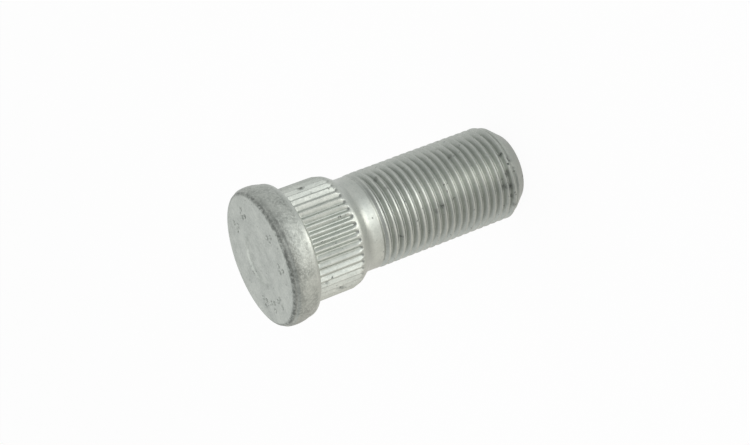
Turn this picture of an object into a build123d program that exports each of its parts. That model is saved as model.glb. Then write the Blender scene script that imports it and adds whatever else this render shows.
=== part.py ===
from build123d import *
from math import radians, tan
import os

# Press-in wheel bolt, M18 x 1.5, standing on its flat threaded end with its head up.
# Origin: centre of the threaded end. +Z runs along the bolt towards the head.

# Overall
overall_length = 52.0

# Head: a round forged disc with a slightly bulged rim and a shallow dimple in its face
head_diameter = 25.9
head_thickness = 5.9
rim_edge_diameter = 25.1
face_corner_bevel = 0.5
seat_rounding = 1.2
dimple_diameter = 10.8
dimple_floor_diameter = 9.2
dimple_depth = 0.3

# Straight serrations that grip the hub
serration_diameter = 21.3
serrated_length = 8.6
serration_count = 44
serration_depth = 0.55
serration_root_width = 0.2
serration_flank_angle = 45.0

# At both ends the grooves grow shallow and run out: under the head in a steep cone that ends
# outside the crests, and at the other end on the lead-in taper
runout_length = 0.8
runout_relief = 0.08
seat_clearance = 0.1
end_runout_length = 1.0
end_runout_rise = 0.35

# Lead-in taper below the serrations, and the cone from there to the neck
taper_length = 1.4
taper_drop = 0.45
taper_shoulder_bevel = 0.4
cone_length = 1.7
cone_foot_bevel = 0.6

# Neck and thread
neck_diameter = 17.6
neck_length = 3.0
thread_start_length = 0.3
thread_diameter = 18.0
tip_chamfer_length = 3.3
tip_diameter = 14.0
tip_corner_bevel = 0.5

# Heights of the shoulders, counted from the threaded end
face_height = overall_length
seat_height = face_height - head_thickness
serration_bottom = seat_height - serrated_length
groove_bottom = serration_bottom - taper_length / 2
taper_bottom = serration_bottom - taper_length
neck_top = taper_bottom - cone_length
thread_top = neck_top - neck_length
thread_full_top = thread_top - thread_start_length

# Radii
rim_edge_radius = rim_edge_diameter / 2
crest_radius = serration_diameter / 2
root_radius = crest_radius - serration_depth
runout_radius = root_radius - runout_relief
taper_end_radius = crest_radius - taper_drop
end_runout_radius = runout_radius + end_runout_rise
seat_inner_radius = crest_radius + seat_clearance
core_radius = runout_radius - serration_depth
seat_rounding_inset = min(seat_rounding, 0.65 * (rim_edge_radius - seat_inner_radius))
neck_radius = neck_diameter / 2
thread_radius = thread_diameter / 2
tip_radius = tip_diameter / 2

# Corners of the half section, as (radius, height)
tip_corner = (tip_radius, 0)
cone_foot = (neck_radius, neck_top)
taper_shoulder = (taper_end_radius, taper_bottom)
seat_corner = (rim_edge_radius, seat_height)
rim_bottom = (rim_edge_radius, seat_height + seat_rounding)
seat_outer_edge = (rim_edge_radius - seat_rounding_inset, seat_height)
face_corner = (rim_edge_radius, face_height)

with BuildPart() as wheel_bolt:
    with BuildSketch(Plane.XZ) as half_section:
        with BuildLine():
            ThreePointArc(
                face_corner,
                (head_diameter / 2, face_height - (head_thickness - seat_rounding) / 2),
                rim_bottom,
            )
            Bezier(rim_bottom, seat_corner, seat_outer_edge)
            Polyline(
                seat_outer_edge,
                (crest_radius, seat_height),
                (crest_radius, serration_bottom),
                taper_shoulder,
                cone_foot,
                (neck_radius, thread_top),
                (thread_radius, thread_full_top),
                (thread_radius, tip_chamfer_length),
                tip_corner,
                (0, 0),
                (0, face_height - dimple_depth),
                (dimple_floor_diameter / 2, face_height - dimple_depth),
                (dimple_diameter / 2, face_height),
                face_corner,
            )
        make_face()
        corner_bevels = {
            face_corner: face_corner_bevel,
            taper_shoulder: taper_shoulder_bevel,
            cone_foot: cone_foot_bevel,
            tip_corner: tip_corner_bevel,
        }
        for corner, bevel in corner_bevels.items():
            chamfer(half_section.vertices().sort_by_distance(corner)[0], bevel)
    revolve(axis=Axis.Z)

    # V grooves between the serrations, from the taper up to the head
    groove_height = serration_depth + serration_root_width
    groove_mouth = serration_root_width + 2 * groove_height / tan(radians(serration_flank_angle))
    with BuildSketch(Plane.XY.offset(groove_bottom)):
        with PolarLocations(root_radius + groove_height, serration_count):
            Trapezoid(
                groove_mouth,
                groove_height,
                serration_flank_angle,
                rotation=90,
                align=(Align.CENTER, Align.MIN),
            )
    extrude(amount=seat_height - groove_bottom, mode=Mode.SUBTRACT)

    # Run-outs of the grooves, at the head and on the taper
    with BuildSketch(Plane.XZ):
        Polygon(
            (core_radius, seat_height),
            (seat_inner_radius, seat_height),
            (runout_radius, seat_height - runout_length),
            (runout_radius, groove_bottom + end_runout_length),
            (end_runout_radius, groove_bottom),
            (core_radius, groove_bottom),
        )
    revolve(axis=Axis.Z)

os.makedirs("parts", exist_ok=True)
wheel_bolt.part.label = "wheel_bolt"
export_step(wheel_bolt.part, "parts/wheel_bolt.step")
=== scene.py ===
import math

import bpy
import bmesh
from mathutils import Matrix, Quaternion, Vector


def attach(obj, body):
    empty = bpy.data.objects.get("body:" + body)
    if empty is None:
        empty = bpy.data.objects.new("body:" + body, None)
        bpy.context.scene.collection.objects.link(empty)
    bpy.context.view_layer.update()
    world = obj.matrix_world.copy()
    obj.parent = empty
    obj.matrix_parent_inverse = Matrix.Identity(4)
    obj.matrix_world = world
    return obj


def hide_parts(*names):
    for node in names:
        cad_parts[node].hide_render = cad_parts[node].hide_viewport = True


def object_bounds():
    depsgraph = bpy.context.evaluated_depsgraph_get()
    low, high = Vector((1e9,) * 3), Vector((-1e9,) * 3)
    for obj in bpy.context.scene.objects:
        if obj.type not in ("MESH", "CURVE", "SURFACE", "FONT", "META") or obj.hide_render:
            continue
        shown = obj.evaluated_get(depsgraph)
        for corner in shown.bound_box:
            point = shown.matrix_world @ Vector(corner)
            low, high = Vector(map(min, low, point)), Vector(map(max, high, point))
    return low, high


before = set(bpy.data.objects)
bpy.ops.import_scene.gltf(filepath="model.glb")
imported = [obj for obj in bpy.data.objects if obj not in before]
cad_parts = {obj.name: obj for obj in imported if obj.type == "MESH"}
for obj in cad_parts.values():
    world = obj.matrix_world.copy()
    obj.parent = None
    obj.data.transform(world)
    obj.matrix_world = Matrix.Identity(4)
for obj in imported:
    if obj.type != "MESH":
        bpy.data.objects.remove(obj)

cad_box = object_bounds()
MM = 0.001
bpy.ops.object.select_all(action="DESELECT")

# The forged end of the wheel bolt: head, serrated shank, cone and neck, upset from one bar of steel.
# The serrations are rolled on; at both ends their grooves grow shallow and run out.
# It is turned here from its half section, then the grooves are pressed in. Sizes are in millimetres.
FACE_Z = cad_box[1].z / MM
HEAD_R = cad_box[1].x / MM
SEAT_Z = FACE_Z - 5.9
RIM_EDGE_R = 12.55
FACE_CORNER_R = 0.7
FLAT_FACE_R = RIM_EDGE_R - FACE_CORNER_R
SEAT_ROUNDING = 1.4
SEAT_INSET = 1.35
DIMPLE_R = 5.4
DIMPLE_FLOOR_R = 4.6
DIMPLE_DEPTH = 0.3
CREST_R = 10.65
SERRATIONS = 44
SERRATION_DEPTH = 0.55
SERRATION_ROOT_W = 0.2
GROOVE_ROOT_R = CREST_R - SERRATION_DEPTH
RUNOUT_LENGTH = 0.8
RUNOUT_SEAT_R = CREST_R + 0.1
RUNOUT_FOOT_R = GROOVE_ROOT_R - 0.08
SERRATION_END_Z = SEAT_Z - 8.6
TAPER_END_Z = SERRATION_END_Z - 1.4
TAPER_END_R = CREST_R - 0.4
TAPER_START_ROUNDING = 2.2
TAPER_END_ROUNDING = 2.0
GROOVE_END_Z = SERRATION_END_Z - 0.95
END_RUNOUT_LENGTH = 0.45
END_RUNOUT_RISE = 0.36
CONE_FOOT_Z = TAPER_END_Z - 2.0
CONE_FOOT_ROUNDING = 2.2
NECK_R = 8.8
NECK_END_Z = CONE_FOOT_Z - 0.9
# Columns of the mesh in half a serration, by their distance from the groove's middle along the crests
COLUMN_PLACES = (0.0, 0.1, 0.28, 0.47, 0.65)
HALF_COLUMNS = len(COLUMN_PLACES)
COLUMNS = 2 * HALF_COLUMNS * SERRATIONS
MERGE = 0.002 * MM
# Round pips struck into the face, in groups of three, by their angle round it and their radius
PIP_GROUPS = (-124, -88, -18, 20, 75, 99, 122)
PIP_PLACES = ((-4.5, 8.1), (4.5, 8.1), (0.0, 9.5))
PIP_R = 0.6
PIP_FLOOR_R = 0.18
PIP_DEPTH = 0.24


def rounded(before, corner, after, radius, steps):
    """Points of an arc of that radius that rounds the corner of a half section."""
    corner = Vector(corner)
    to_before = (Vector(before) - corner).normalized()
    to_after = (Vector(after) - corner).normalized()
    half = to_before.angle(to_after) / 2
    centre = corner + (to_before + to_after).normalized() * (radius / math.sin(half))
    start = corner + to_before * (radius / math.tan(half)) - centre
    end = corner + to_after * (radius / math.tan(half)) - centre
    turn = start.angle(end)
    points = []
    for i in range(steps + 1):
        share = i / steps
        a = math.sin((1 - share) * turn) / math.sin(turn)
        b = math.sin(share * turn) / math.sin(turn)
        points.append(tuple(centre + start * a + end * b))
    return points


def spread(start, end, steps):
    """Points that divide a straight stretch of a half section, both ends left out."""
    start, end = Vector(start), Vector(end)
    return [tuple(start.lerp(end, i / steps)) for i in range(1, steps)]


def smooth(low, high, value):
    """0 below low, 1 above high, and an even S between them."""
    t = min(max((value - low) / (high - low), 0), 1)
    return t * t * (3 - 2 * t)


def drawn_vertex(name, start, points):
    """A new mesh object whose one vertex, at start, is drawn along the points in the XZ plane."""
    bpy.ops.mesh.primitive_plane_add(size=MM, location=(0, 0, 0))
    piece = bpy.context.object
    piece.name = piece.data.name = name
    bpy.ops.object.mode_set(mode="EDIT")
    bpy.ops.mesh.merge(type="CENTER")
    bpy.ops.transform.translate(value=(start[0] * MM, 0, start[1] * MM))
    here = start
    for there in points:
        step = ((there[0] - here[0]) * MM, 0, (there[1] - here[1]) * MM)
        bpy.ops.mesh.extrude_region_move(TRANSFORM_OT_translate={"value": step})
        here = there
    return piece


face_edge = (RIM_EDGE_R, FACE_Z)
seat_edge = (RIM_EDGE_R, SEAT_Z)
dimple_floor = (DIMPLE_FLOOR_R, FACE_Z - DIMPLE_DEPTH)
runout_seat = (RUNOUT_SEAT_R, SEAT_Z)
runout_slope = (RUNOUT_SEAT_R - RUNOUT_FOOT_R) / RUNOUT_LENGTH
crest_top = (CREST_R, SEAT_Z - (RUNOUT_SEAT_R - CREST_R) / runout_slope)
runout_end = (CREST_R, SEAT_Z - RUNOUT_LENGTH)
rim_bottom = (RIM_EDGE_R, SEAT_Z + SEAT_ROUNDING)
seat_outer = (RIM_EDGE_R - SEAT_INSET, SEAT_Z)
taper_start = (CREST_R, SERRATION_END_Z)
taper_end = (TAPER_END_R, TAPER_END_Z)
cone_foot = (NECK_R, CONE_FOOT_Z)
lead_in = rounded(runout_end, taper_start, taper_end, TAPER_START_ROUNDING, 5)
shoulder = rounded(taper_start, taper_end, cone_foot, TAPER_END_ROUNDING, 5)
foot = rounded(taper_end, cone_foot, (NECK_R, NECK_END_Z), CONE_FOOT_ROUNDING, 6)

section = spread((0, FACE_Z - DIMPLE_DEPTH), dimple_floor, 6)
section.append(dimple_floor)
for share in (i / 6 for i in range(1, 7)):
    drop = DIMPLE_DEPTH * (1 - smooth(0, 1, share))
    section.append((DIMPLE_FLOOR_R + (DIMPLE_R - DIMPLE_FLOOR_R) * share, FACE_Z - drop))
section += spread((DIMPLE_R, FACE_Z), (FLAT_FACE_R, FACE_Z), 32)
section += rounded((0, FACE_Z), face_edge, seat_edge, FACE_CORNER_R, 5)
for _, height in spread((0, FACE_Z - FACE_CORNER_R), rim_bottom, 12):
    from_middle = (2 * height - FACE_Z - rim_bottom[1]) / (FACE_Z - rim_bottom[1])
    section.append((HEAD_R - (HEAD_R - RIM_EDGE_R) * from_middle ** 2, height))
for share in (i / 8 for i in range(9)):
    on_rim = Vector(rim_bottom).lerp(Vector(seat_edge), share)
    on_seat = Vector(seat_edge).lerp(Vector(seat_outer), share)
    section.append(tuple(on_rim.lerp(on_seat, share)))
section += [runout_seat, crest_top]
section += spread(crest_top, runout_end, 5)
section += [runout_end]
section += spread(runout_end, lead_in[0], 9)
section += lead_in
section += spread(lead_in[-1], shoulder[0], 4)
section += shoulder
section += spread(shoulder[-1], foot[0], 3)
section += foot
section += [(NECK_R, NECK_END_Z)]

bolt = drawn_vertex("wheel_bolt_forging", (0, FACE_Z - DIMPLE_DEPTH), section)
bpy.ops.mesh.select_all(action="SELECT")
bpy.ops.mesh.spin(steps=COLUMNS, angle=math.tau, center=(0, 0, 0), axis=(0, 0, 1))
bpy.ops.mesh.select_all(action="SELECT")
bpy.ops.mesh.remove_doubles(threshold=MERGE)
bpy.ops.object.mode_set(mode="OBJECT")

# The mesh's columns move onto the edges of the grooves, the V grooves are pressed in between them,
# and the pips are struck into the face
pips = []
for group in PIP_GROUPS:
    for turn, pip_r in PIP_PLACES:
        pip_angle = math.radians(group + turn)
        pips.append(Vector((-pip_r * math.sin(pip_angle), -pip_r * math.cos(pip_angle))) * MM)
pitch_angle = math.tau / SERRATIONS
column_angle = math.tau / COLUMNS
for vertex in bolt.data.vertices:
    radius = vertex.co.xy.length / MM
    height = vertex.co.z / MM
    column = round(math.atan2(vertex.co.y, vertex.co.x) / column_angle)
    groove = round(column / (2 * HALF_COLUMNS))
    from_groove = column - groove * 2 * HALF_COLUMNS
    if abs(from_groove) == HALF_COLUMNS:
        aside = CREST_R * pitch_angle / 2
    else:
        aside = COLUMN_PLACES[abs(from_groove)]
    angle = groove * pitch_angle + math.copysign(aside / CREST_R, from_groove)
    if GROOVE_END_Z - END_RUNOUT_LENGTH < height < crest_top[1]:
        rise = min(max(aside - SERRATION_ROOT_W / 2, 0), SERRATION_DEPTH)
        runout_r = RUNOUT_SEAT_R - (SEAT_Z - height) * runout_slope
        end_share = 1 - (height - GROOVE_END_Z) / END_RUNOUT_LENGTH
        end_runout_r = RUNOUT_FOOT_R + END_RUNOUT_RISE * end_share
        radius = min(radius, max(GROOVE_ROOT_R + rise, runout_r, end_runout_r))
    vertex.co.x = radius * math.cos(angle) * MM
    vertex.co.y = radius * math.sin(angle) * MM
    if height > FACE_Z - MERGE / MM and DIMPLE_R < radius < FLAT_FACE_R:
        nearest = min((vertex.co.xy - pip).length for pip in pips) / MM
        vertex.co.z -= PIP_DEPTH * (1 - smooth(PIP_FLOOR_R, PIP_R, nearest)) * MM

# The thread: M18 x 1.5, right-hand, rolled on the bar before the coat went on. One pitch of its
# profile is drawn and screwed up the axis; it fades into the neck, where the crests are still
# split by the rolling seam, and the chamfer at the end cuts it back.
PITCH = 1.5
THREAD_R = 9.0
THREAD_DEPTH = 0.74
THREAD_ROOT_R = THREAD_R - THREAD_DEPTH
CREST_HALF_W = 0.25
ROOT_HALF_W = 0.08
THREAD_STEPS = 132
THREAD_END_Z = NECK_END_Z - 0.6
THREAD_FADE = 2.6
THREAD_FADE_STOP = 0.3
SPARE_TURNS = 2
SEAM_DEPTH = 0.07
SEAM_FROM_Z = FACE_Z - 34
SEAM_TO_Z = FACE_Z - 24
CREST_AT_FRONT_Z = FACE_Z - 40.97
TIP_R = 7.0
TIP_CHAMFER = 2.9
TIP_CORNER = 0.5
TIP_CORNER_SLOPE = 0.8
EXACT_CUT = 1e-7
SMOOTH_ANGLE = math.radians(32)

half_profile = [
    (0.0, THREAD_DEPTH),
    (0.1, THREAD_DEPTH - 0.01),
    (0.19, THREAD_DEPTH - 0.05),
    (0.27, THREAD_DEPTH - 0.13),
    (0.35, THREAD_DEPTH - 0.26),
    (0.6, 0.1),
    (0.67, 0.02),
    (PITCH / 2, 0.0),
]
profile = [(-w, h) for w, h in reversed(half_profile)] + half_profile[1:]
turns = math.ceil(THREAD_END_Z / PITCH) + 2 * SPARE_TURNS
start_z = -SPARE_TURNS * PITCH + (CREST_AT_FRONT_Z + PITCH / 4) % PITCH
profile_points = [(THREAD_ROOT_R + h, start_z + w) for w, h in profile]

thread = drawn_vertex("wheel_bolt_thread", profile_points[0], profile_points[1:])
bpy.ops.object.mode_set(mode="OBJECT")
screw = thread.modifiers.new("helix", "SCREW")
screw.axis = "Z"
screw.angle = math.tau
screw.screw_offset = PITCH * MM
screw.iterations = turns
screw.steps = screw.render_steps = THREAD_STEPS
bpy.ops.object.modifier_apply(modifier="helix")
bpy.ops.object.mode_set(mode="EDIT")
bpy.ops.mesh.select_all(action="SELECT")
bpy.ops.mesh.remove_doubles(threshold=MERGE)
bpy.ops.object.mode_set(mode="OBJECT")


def chamfer_radius(height):
    """Radius of the end chamfer's cone at a height above the threaded end."""
    if height < TIP_CORNER:
        return TIP_R - (TIP_CORNER - height) * TIP_CORNER_SLOPE
    return TIP_R + (THREAD_R - TIP_R) * (height - TIP_CORNER) / (TIP_CHAMFER - TIP_CORNER)


# Crests follow the chamfer down, with their flanks, and crest and root run together into the neck
flank_run = PITCH / 2 - ROOT_HALF_W - CREST_HALF_W
for vertex in thread.data.vertices:
    radius = vertex.co.xy.length / MM
    height = vertex.co.z / MM
    angle = math.atan2(vertex.co.y, vertex.co.x)
    from_crest = (height - start_z - PITCH * angle / math.tau + PITCH / 2) % PITCH - PITCH / 2
    crest_z = height - from_crest
    share = (radius - THREAD_ROOT_R) / THREAD_DEPTH
    crest_height = min(chamfer_radius(crest_z) - THREAD_ROOT_R, THREAD_DEPTH)
    if 0 < crest_height < THREAD_DEPTH and abs(from_crest) > MERGE / MM:
        wider = flank_run * (1 - crest_height / THREAD_DEPTH)
        height += math.copysign(wider * share, from_crest)
        radius = THREAD_ROOT_R + crest_height * share
    if abs(from_crest) < CREST_HALF_W / 2:
        radius -= SEAM_DEPTH * smooth(SEAM_FROM_Z, SEAM_TO_Z, height)
    fade = smooth(THREAD_END_Z - THREAD_FADE, THREAD_END_Z - THREAD_FADE_STOP, height)
    radius = radius + (NECK_R - radius) * fade
    radius = min(radius, chamfer_radius(height))
    vertex.co = (radius * math.cos(angle) * MM, radius * math.sin(angle) * MM, height * MM)

bpy.ops.object.mode_set(mode="EDIT")
bpy.ops.mesh.select_all(action="SELECT")
bpy.ops.mesh.bisect(
    plane_co=(0, 0, THREAD_END_Z * MM),
    plane_no=(0, 0, 1),
    clear_outer=True,
    threshold=EXACT_CUT,
)
bpy.ops.mesh.select_all(action="SELECT")
bpy.ops.mesh.bisect(
    plane_co=(0, 0, 0),
    plane_no=(0, 0, 1),
    clear_inner=True,
    use_fill=True,
    threshold=EXACT_CUT,
)
bpy.ops.object.mode_set(mode="OBJECT")

# Forging and thread are one piece of steel: the two open rings on the neck are bridged
bolt.select_set(True)
thread.select_set(True)
bpy.context.view_layer.objects.active = bolt
bpy.ops.object.join()
bolt.name = bolt.data.name = "wheel_bolt_steel"
bpy.ops.object.mode_set(mode="EDIT")
bpy.ops.mesh.select_mode(type="EDGE")
bpy.ops.mesh.select_all(action="DESELECT")
edit = bmesh.from_edit_mesh(bolt.data)
for edge in edit.edges:
    edge.select_set(edge.is_boundary)
bmesh.update_edit_mesh(bolt.data)
bpy.ops.mesh.bridge_edge_loops()
bpy.ops.mesh.select_all(action="SELECT")
bpy.ops.mesh.normals_make_consistent(inside=False)
bpy.ops.object.mode_set(mode="OBJECT")
bpy.ops.object.shade_smooth_by_angle(angle=SMOOTH_ANGLE)

# Where the surface is rough from the forging dies, where the coat is chipped or stained, where the
# thread runs, and where the struck pips' hollows get painted shade.
# Flecks are given by height, degrees from the front line, radius and darkness.
FRONT = -math.pi / 2
EDGE_DARKEST = FRONT - math.radians(30)
EDGE_STAIN = 0.5
EDGE_STAIN_SWING = 0.12
# Painted shade in the struck pips' hollows: its darkness, and how far below the face a point must lie
# to get it
PIP_PAINTED_SHADE = 0.36
PIP_SHADE_FROM = 0.05
FACE_ROUGH = 0.45
ROUGH_FACE_Z = (FACE_Z - 1.0, FACE_Z - 0.4)
ROUGH_RIM_Z = (SEAT_Z + 0.7, SEAT_Z + 1.4)
ROUGH_RIM_R = (11.9, 12.4)
DARK_EDGE_Z = (FACE_Z - 0.75, FACE_Z - 0.3)
DARK_EDGE_R = (11.8, 12.2)
# Heights over which the thread's painted shade fades in below the neck
THREAD_SHADE_Z = (THREAD_END_Z - 1.2, THREAD_END_Z + 0.6)
FLECKS = (
    (3.0, 8, 0.5, 1.0),
    (4.0, 16, 0.35, 0.9),
    (4.5, -8, 0.55, 0.9),
    (5.6, -23, 0.6, 0.7),
    (4.2, -26, 0.6, 0.7),
    (4.1, -40, 0.4, 0.7),
    (3.4, -52, 0.45, 0.7),
    (18.8, -17, 0.4, 0.8),
    (20.2, -20, 0.4, 0.6),
    (27.8, -35, 0.3, 0.8),
    (27.6, 25, 0.5, 0.5),
    (28.2, 45, 0.5, 0.5),
    (13.1, 38, 0.4, 0.6),
    (41.9, 61, 0.3, 1.0),
    (40.9, -67, 0.3, 1.0),
    (40.1, -69, 0.25, 0.8),
    (44.3, -50, 0.25, 0.6),
)
forged = bolt.data.attributes.new("forged", "FLOAT", "POINT")
stain_and_pip_shade = bolt.data.attributes.new("stain_and_pip_shade", "FLOAT", "POINT")
threaded = bolt.data.attributes.new("threaded", "FLOAT", "POINT")
fleck_places = []
for height, turn, size, dark in FLECKS:
    fleck_angle = FRONT + math.radians(turn)
    fleck_places.append((height, fleck_angle, size, dark))
for vertex in bolt.data.vertices:
    radius = vertex.co.xy.length / MM
    height = vertex.co.z / MM
    angle = math.atan2(vertex.co.y, vertex.co.x)
    rim = smooth(*ROUGH_RIM_R, radius) * smooth(*ROUGH_RIM_Z, height)
    face = FACE_ROUGH * smooth(*ROUGH_FACE_Z, height)
    forged.data[vertex.index].value = max(rim, face)
    threaded.data[vertex.index].value = 1 - smooth(*THREAD_SHADE_Z, height)
    edge = smooth(*DARK_EDGE_R, radius) * smooth(*DARK_EDGE_Z, height)
    stain_and_shade = (EDGE_STAIN + EDGE_STAIN_SWING * math.cos(angle - EDGE_DARKEST)) * edge
    sunk = FACE_Z - height
    # Painted shade: the hollows of the struck pips get a dark value in this mask, standing in for the
    # shade that falls in them
    if PIP_SHADE_FROM < sunk < 2 * PIP_DEPTH and DIMPLE_R < radius < FLAT_FACE_R:
        stain_and_shade = PIP_PAINTED_SHADE
    for fleck_z, fleck_angle, size, dark in fleck_places:
        along = (angle - fleck_angle + math.pi) % math.tau - math.pi
        away = math.hypot(height - fleck_z, along * radius)
        stain_and_shade = max(stain_and_shade, dark * (1 - smooth(size * 0.4, size * 1.4, away)))
    stain_and_pip_shade.data[vertex.index].value = stain_and_shade

# The coat: zinc flakes in a thin grey binder, dipped and baked. Matte, faintly green, finely speckled,
# blotched where it lies on forged skin, and dark where it is chipped.
# Painted shade darkens it over the thread, standing in for the shade in its grooves, and in the struck
# pips' hollows.
PALE_ZINC = (0.53, 0.555, 0.515, 1)
DULL_ZINC = (0.40, 0.43, 0.40, 1)
FORGED_ZINC = (0.27, 0.285, 0.265, 1)
# Darker zinc over the thread: painted shade standing in for the shade in its grooves
THREAD_SHADE_ZINC = (0.33, 0.345, 0.32, 1)
# Dark colour of chips and stains, also used as painted shade in the pips' hollows
STAIN_AND_SHADE_DARK = (0.035, 0.04, 0.035, 1)
CLOUD_SHARE = 0.45
PATCH_LEAST = 0.3
PATCH_SWING = 0.6
# How far the thread's colour goes towards that darker zinc, as painted shade
THREAD_PAINTED_SHADE = 0.15
GRAIN_ROUGHNESS = 0.6
SMOOTHEST = 0.33
ROUGHEST = 0.43
FORGED_ROUGHER = 0.1
STAIN_ROUGHER = 0.25
STAIN_LESS_METAL = 0.8
SPECKLE_HEIGHT = 0.004 * MM
FORGE_HEIGHT = 0.07 * MM
CHIP_DEPTH = 0.02 * MM
zinc = bpy.data.materials.new("zinc_flake_coat")
zinc.use_nodes = True
nodes = zinc.node_tree.nodes
links = zinc.node_tree.links
shader = nodes["Principled BSDF"]
place = nodes.new("ShaderNodeTexCoord")
in_mm = nodes.new("ShaderNodeMapping")
in_mm.inputs["Scale"].default_value = (1 / MM, 1 / MM, 1 / MM)
links.new(place.outputs["Object"], in_mm.inputs["Vector"])


def stretched(value, low, high, out_low, out_high):
    """A value taken from low..high to out_low..out_high."""
    node = nodes.new("ShaderNodeMapRange")
    for socket, number in zip(node.inputs[1:5], (low, high, out_low, out_high)):
        socket.default_value = number
    links.new(value, node.inputs["Value"])
    return node.outputs["Result"]


def grain(scale, detail, low, high, out_low, out_high):
    """Noise of so many waves to the millimetre, stretched from low..high to out_low..out_high."""
    texture = nodes.new("ShaderNodeTexNoise")
    texture.inputs["Scale"].default_value = scale
    texture.inputs["Detail"].default_value = detail
    texture.inputs["Roughness"].default_value = GRAIN_ROUGHNESS
    links.new(in_mm.outputs["Vector"], texture.inputs["Vector"])
    return stretched(texture.outputs["Fac"], low, high, out_low, out_high)


def math_node(operation, a, b):
    """One Math node on two sockets or numbers."""
    node = nodes.new("ShaderNodeMath")
    node.operation = operation
    for socket, value in zip(node.inputs, (a, b)):
        if isinstance(value, (int, float)):
            socket.default_value = value
        else:
            links.new(value, socket)
    return node.outputs["Value"]


def mask(name):
    """A value painted on the mesh."""
    node = nodes.new("ShaderNodeAttribute")
    node.attribute_name = name
    return node.outputs["Fac"]


def mixed(share, a, b):
    """Colour between a and b."""
    node = nodes.new("ShaderNodeMix")
    node.data_type = "RGBA"
    links.new(share, node.inputs["Factor"])
    for socket, value in zip(node.inputs[6:8], (a, b)):
        if isinstance(value, tuple):
            socket.default_value = value
        else:
            links.new(value, socket)
    return node.outputs[2]


on_forging = mask("forged")
cloud = grain(0.35, 3, 0.35, 0.65, 0.0, 1.0)
speckle = grain(3.2, 2, 0.3, 0.7, 0.0, 1.0)
skin = grain(2.6, 4, 0.42, 0.62, 1.0, 0.0)
clouded = math_node("MULTIPLY", cloud, CLOUD_SHARE)
speckled = math_node("MULTIPLY", speckle, 1 - CLOUD_SHARE)
coat = mixed(math_node("ADD", clouded, speckled), PALE_ZINC, DULL_ZINC)
patchy = math_node("ADD", math_node("MULTIPLY", cloud, PATCH_SWING), PATCH_LEAST)
blotch = math_node("MULTIPLY", math_node("MULTIPLY", on_forging, skin), patchy)
coat = mixed(blotch, coat, FORGED_ZINC)
# Painted shade: the thread is drawn darker, standing in for the shade in its grooves
coat = mixed(math_node("MULTIPLY", mask("threaded"), THREAD_PAINTED_SHADE), coat, THREAD_SHADE_ZINC)
# This mask holds real stains and chips, and painted shade in the pips' hollows
painted = math_node("MULTIPLY", mask("stain_and_pip_shade"), grain(1.9, 3, 0.38, 0.58, 0.15, 1.0))
scattered = grain(1.3, 2, 0.68, 0.74, 0.0, 0.7)
chips_and_pip_shade = math_node("MAXIMUM", painted, scattered)
# Dark where the coat is chipped or stained, and painted shade in the struck pips' hollows
coat = mixed(chips_and_pip_shade, coat, STAIN_AND_SHADE_DARK)
links.new(coat, shader.inputs["Base Color"])
rough = grain(2.0, 2, 0.3, 0.7, SMOOTHEST, ROUGHEST)
rough = math_node("ADD", rough, math_node("MULTIPLY", on_forging, FORGED_ROUGHER))
rough = math_node("ADD", rough, math_node("MULTIPLY", chips_and_pip_shade, STAIN_ROUGHER))
links.new(rough, shader.inputs["Roughness"])
less_metal = math_node("MULTIPLY", chips_and_pip_shade, STAIN_LESS_METAL)
links.new(math_node("SUBTRACT", 1.0, less_metal), shader.inputs["Metallic"])
forge_lift = math_node("MULTIPLY", on_forging, grain(1.3, 4, 0.2, 0.8, 0.0, 1.0))
relief = math_node("MULTIPLY", speckle, SPECKLE_HEIGHT)
relief = math_node("ADD", relief, math_node("MULTIPLY", forge_lift, FORGE_HEIGHT))
relief = math_node("SUBTRACT", relief, math_node("MULTIPLY", chips_and_pip_shade, CHIP_DEPTH))
bump = nodes.new("ShaderNodeBump")
bump.inputs["Strength"].default_value = 1.0
bump.inputs["Distance"].default_value = 1.0
links.new(relief, bump.inputs["Height"])
links.new(bump.outputs["Normal"], shader.inputs["Normal"])
bolt.data.materials.clear()
bolt.data.materials.append(zinc)

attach(bolt, "root")
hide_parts("wheel_bolt")

# The floor: a plain white sheet that the bolt stands on. It shows white to the eye and to the metal,
# a little warm to the metal on one side, and keeps a faint shadow.
FLOOR_HALF = 3.0
FLOOR_WHITE = (1.0, 1.0, 1.0, 1)
FLOOR_WARM = (1.0, 0.93, 0.86, 1)
FLOOR_MATTE = (0.9, 0.9, 0.9, 1)
ALL_WARM_X = -25 * MM
NOT_WARM_X = 10 * MM
SHADOW_SHARE = 0.05
REFLECTED_SHARE = 0.55
bpy.ops.mesh.primitive_plane_add(size=2 * FLOOR_HALF, location=(0, 0, cad_box[0].z))
floor = bpy.context.object
floor.name = "floor"
paper = bpy.data.materials.new("white_paper")
paper.use_nodes = True
nodes = paper.node_tree.nodes
links = paper.node_tree.links
nodes.remove(nodes["Principled BSDF"])
matte = nodes.new("ShaderNodeBsdfDiffuse")
matte.inputs["Color"].default_value = FLOOR_MATTE
glow = nodes.new("ShaderNodeEmission")
rays = nodes.new("ShaderNodeLightPath")
spot = nodes.new("ShaderNodeTexCoord")
spot_parts = nodes.new("ShaderNodeSeparateXYZ")
links.new(spot.outputs["Object"], spot_parts.inputs["Vector"])
warm_side = stretched(spot_parts.outputs["X"], ALL_WARM_X, NOT_WARM_X, 1.0, 0.0)
warm_share = math_node("MULTIPLY", warm_side, rays.outputs["Is Glossy Ray"])
links.new(mixed(warm_share, FLOOR_WHITE, FLOOR_WARM), glow.inputs["Color"])
seen_white = math_node("MULTIPLY", rays.outputs["Is Camera Ray"], 1 - SHADOW_SHARE)
reflected_white = math_node("MULTIPLY", rays.outputs["Is Glossy Ray"], REFLECTED_SHARE)
white_share = math_node("MAXIMUM", seen_white, reflected_white)
blend = nodes.new("ShaderNodeMixShader")
links.new(white_share, blend.inputs["Fac"])
links.new(matte.outputs["BSDF"], blend.inputs[1])
links.new(glow.outputs["Emission"], blend.inputs[2])
links.new(blend.outputs["Shader"], nodes["Material Output"].inputs["Surface"])
floor.data.materials.append(paper)

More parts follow.
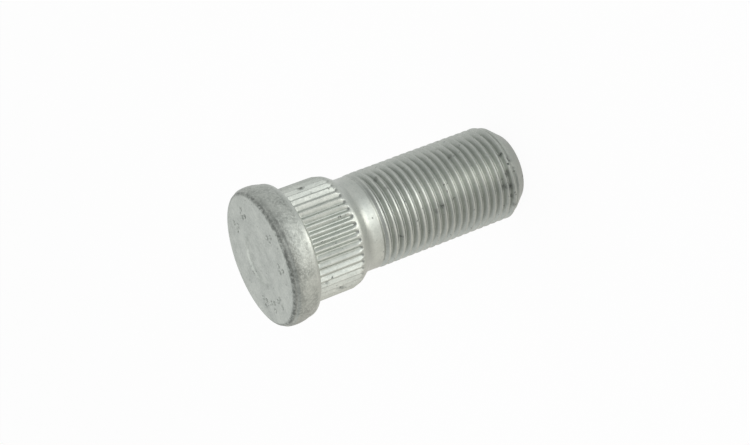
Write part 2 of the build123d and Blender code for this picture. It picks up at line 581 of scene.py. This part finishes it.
# Light: a soft grey surround, brighter behind the bolt than on the camera's side. Low strips lie on
# the floor in front of the bolt, narrow near it and wider away from it, and a faint one at its side.
# Large soft panels hang overhead and above the camera.
FRONT_LEVEL = 0.32
BACK_LEVEL = 1.0
FRONT_Y = -0.9
BACK_Y = 0.9
WARM_LAMP = (1.0, 0.96, 0.9)
world = bpy.data.worlds.new("surround")
bpy.context.scene.world = world
world.use_nodes = True
nodes = world.node_tree.nodes
links = world.node_tree.links
background = nodes["Background"]
background.inputs["Color"].default_value = (1, 1, 1, 1)
direction = nodes.new("ShaderNodeTexCoord")
parts = nodes.new("ShaderNodeSeparateXYZ")
links.new(direction.outputs["Generated"], parts.inputs["Vector"])
level = stretched(parts.outputs["Y"], FRONT_Y, BACK_Y, FRONT_LEVEL, BACK_LEVEL)
links.new(level, background.inputs["Strength"])


def soft_panel(name, place, aim, size, brightness, colour=(1, 1, 1)):
    """An elliptical panel of even brightness, facing the aim; places and sizes are in millimetres."""
    lamp = bpy.data.lights.new(name, "AREA")
    lamp.shape = "ELLIPSE"
    lamp.color = colour
    lamp.size = size[0] * MM
    lamp.size_y = size[1] * MM
    lamp.energy = brightness * math.pi * (math.pi / 4) * lamp.size * lamp.size_y
    panel = bpy.data.objects.new(name, lamp)
    bpy.context.scene.collection.objects.link(panel)
    panel.location = Vector(place) * MM
    facing = Vector(aim) - Vector(place)
    panel.rotation_mode = "QUATERNION"
    panel.rotation_quaternion = facing.to_track_quat("-Z", "Y")
    panel.visible_camera = False


soft_panel("low_strip_near", (2, -36, 2), (2, -36, 100), (22, 40), 1.8, WARM_LAMP)
soft_panel("low_strip_far", (6, -98, 2), (6, -98, 100), (70, 116), 1.25)
soft_panel("low_wide_strip", (-15, -105, 2), (-15, -105, 100), (230, 130), 0.6)
soft_panel("side_strip", (-120, -15, 2), (-120, -15, 100), (120, 120), 0.3, WARM_LAMP)
soft_panel("top_panel", (0, 40, 380), (0, 0, 20), (320, 320), 0.8)
soft_panel("high_panel", (-20, -300, 360), (0, 0, 26), (330, 190), 0.9)

# The camera: a long lens above the head, rolled so that the bolt lies across the picture.
AIM = Vector((-1.04, 0.0, 28.6)) * MM
DISTANCE = 334.9 * MM
ELEVATION = math.radians(23.88)
ROLL = math.radians(-110.8)
LENS = 88.75
SENSOR_W = 36.0
camera_data = bpy.data.cameras.new("camera")
camera_data.lens = LENS
camera_data.sensor_width = SENSOR_W
camera = bpy.data.objects.new("camera", camera_data)
bpy.context.scene.collection.objects.link(camera)
back = Vector((0, -math.cos(ELEVATION), math.sin(ELEVATION)))
camera.location = AIM + back * DISTANCE
camera.rotation_mode = "QUATERNION"
camera.rotation_quaternion = back.to_track_quat("Z", "Y") @ Quaternion((0, 0, 1), ROLL)
camera_data.clip_start = 0.01
camera_data.clip_end = 20
bpy.context.scene.camera = camera
bpy.context.scene.view_settings.view_transform = "Standard"
